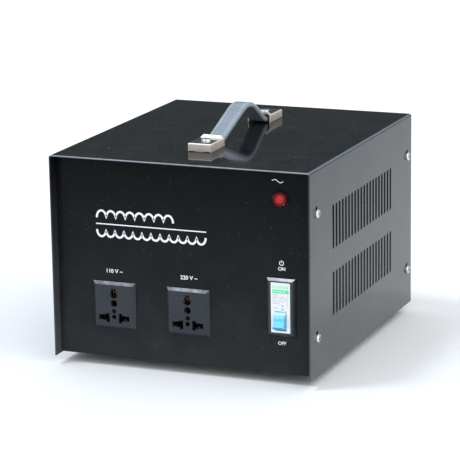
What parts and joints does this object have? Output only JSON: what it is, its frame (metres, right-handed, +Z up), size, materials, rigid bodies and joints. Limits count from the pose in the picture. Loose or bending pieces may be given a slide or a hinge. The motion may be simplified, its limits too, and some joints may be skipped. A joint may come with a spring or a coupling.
{
  "type": "bench transformer",
  "caption": "Step-up and step-down mains transformer in a vented steel case with a strap handle, universal outlets, a breaker switch and a pilot lamp.",
  "frame": {"origin": "on the floor under the middle of the object's box", "axes": "+X to the right seen from the front, +Y from the front panel to the rear, +Z up"},
  "size_m": [0.251, 0.2958, 0.22],
  "materials": {
    "case_black": "black powder coat, semi-gloss, lightly dusty",
    "plated_steel": "bright nickel plate",
    "zinc_steel": "zinc plated",
    "foot_rubber": "moulded black rubber",
    "handle_chrome": "bright chrome on folded sheet steel",
    "strap_vinyl": "ribbed grey vinyl, satin gloss",
    "spring_steel": "tempered spring steel",
    "socket_plastic": "moulded dark grey, semi-gloss",
    "contact_brass": "bright brass",
    "bezel_plastic": "moulded black, glossy",
    "breaker_white": "moulded white",
    "toggle_blue": "moulded bright blue",
    "copper": "bare copper",
    "lens_red": "clear red acrylic",
    "lamp_body": "moulded dark",
    "lamp_glass": "clear glass",
    "core_steel": "wound silicon-steel strip, varnished",
    "winding_copper": "enamelled copper wire",
    "wrap_tape": "green polyester tape",
    "pad_rubber": "sheet rubber",
    "gland_nylon": "black nylon",
    "terminal_plastic": "moulded cream nylon",
    "selector_plastic": "moulded black",
    "selector_red": "moulded red",
    "lead_insulation": "vinyl insulation"
  },
  "bodies": {
    "root": {"arc_chute": "zinc_steel", "block_screws": "zinc_steel", "bolt_nut": "zinc_steel", "bolt_washer": "zinc_steel", "breaker_bezel": "bezel_plastic", "breaker_case_left": "breaker_white", "breaker_case_right": "breaker_white", "breaker_clamps": "contact_brass", "breaker_pins": "zinc_steel", "breaker_rivets": "zinc_steel", "breaker_screws": "zinc_steel", "breaker_stirrup": "zinc_steel", "chassis_tray": "case_black", "cover_screws": "plated_steel", "dished_washer": "zinc_steel", "fixed_contact": "copper", "foot_screws": "zinc_steel", "gland_body": "gland_nylon", "gland_cap": "gland_nylon", "gland_nut": "gland_nylon", "gland_seal": "foot_rubber", "handle_backing_plates": "zinc_steel", "handle_cap_front": "handle_chrome", "handle_cap_rear": "handle_chrome", "handle_nuts": "zinc_steel", "handle_screws": "plated_steel", "handle_spring_strip": "spring_steel", "handle_strap": "strap_vinyl", "lamp_barrel": "lamp_body", "lamp_lens": "lens_red", "lamp_neon": "lamp_glass", "lamp_nut": "lamp_body", "lamp_tabs": "contact_brass", "lower_pad": "pad_rubber", "power_leads": "lead_insulation", "rubber_feet": "foot_rubber", "selector_and_lamp_leads": "lead_insulation", "selector_body": "selector_plastic", "selector_nuts": "zinc_steel", "selector_screws": "plated_steel", "selector_tabs": "contact_brass", "small_nuts": "zinc_steel", "socket_110_back": "socket_plastic", "socket_110_contacts": "contact_brass", "socket_110_housing": "socket_plastic", "socket_220_back": "socket_plastic", "socket_220_contacts": "contact_brass", "socket_220_housing": "socket_plastic", "socket_leads": "lead_insulation", "terminal_block": "terminal_plastic", "top_cover": "case_black", "transformer_bolt": "zinc_steel", "transformer_core": "core_steel", "transformer_winding": "winding_copper", "transformer_wrap": "wrap_tape", "trip_coil": "copper", "upper_pad": "pad_rubber"},
    "toggle": {"breaker_toggle": "toggle_blue"},
    "contact_arm": {"contact_arm": "copper"},
    "selector_knob": {"selector_knob": "selector_red"}
  },
  "joints": [
    {"name": "toggle_hinge", "type": "hinge", "parent": "root", "child": "toggle", "pos_m": [0.0928, -0.136, 0.0584], "axis": [-1, 0, 0], "range_deg": [0, 50]},
    {"name": "contact_arm_hinge", "type": "hinge", "parent": "root", "child": "contact_arm", "pos_m": [0.0928, -0.1108, 0.0561], "axis": [-1, 0, 0], "range_deg": [0, 20]},
    {"name": "selector_slide", "type": "slide", "parent": "root", "child": "selector_knob", "axis": [1, 0, 0], "range_m": [0, 0.0084]}
  ],
  "couplings": [
    {"joint": "contact_arm_hinge", "follows": "toggle_hinge", "ratio": 0.4}
  ]
}
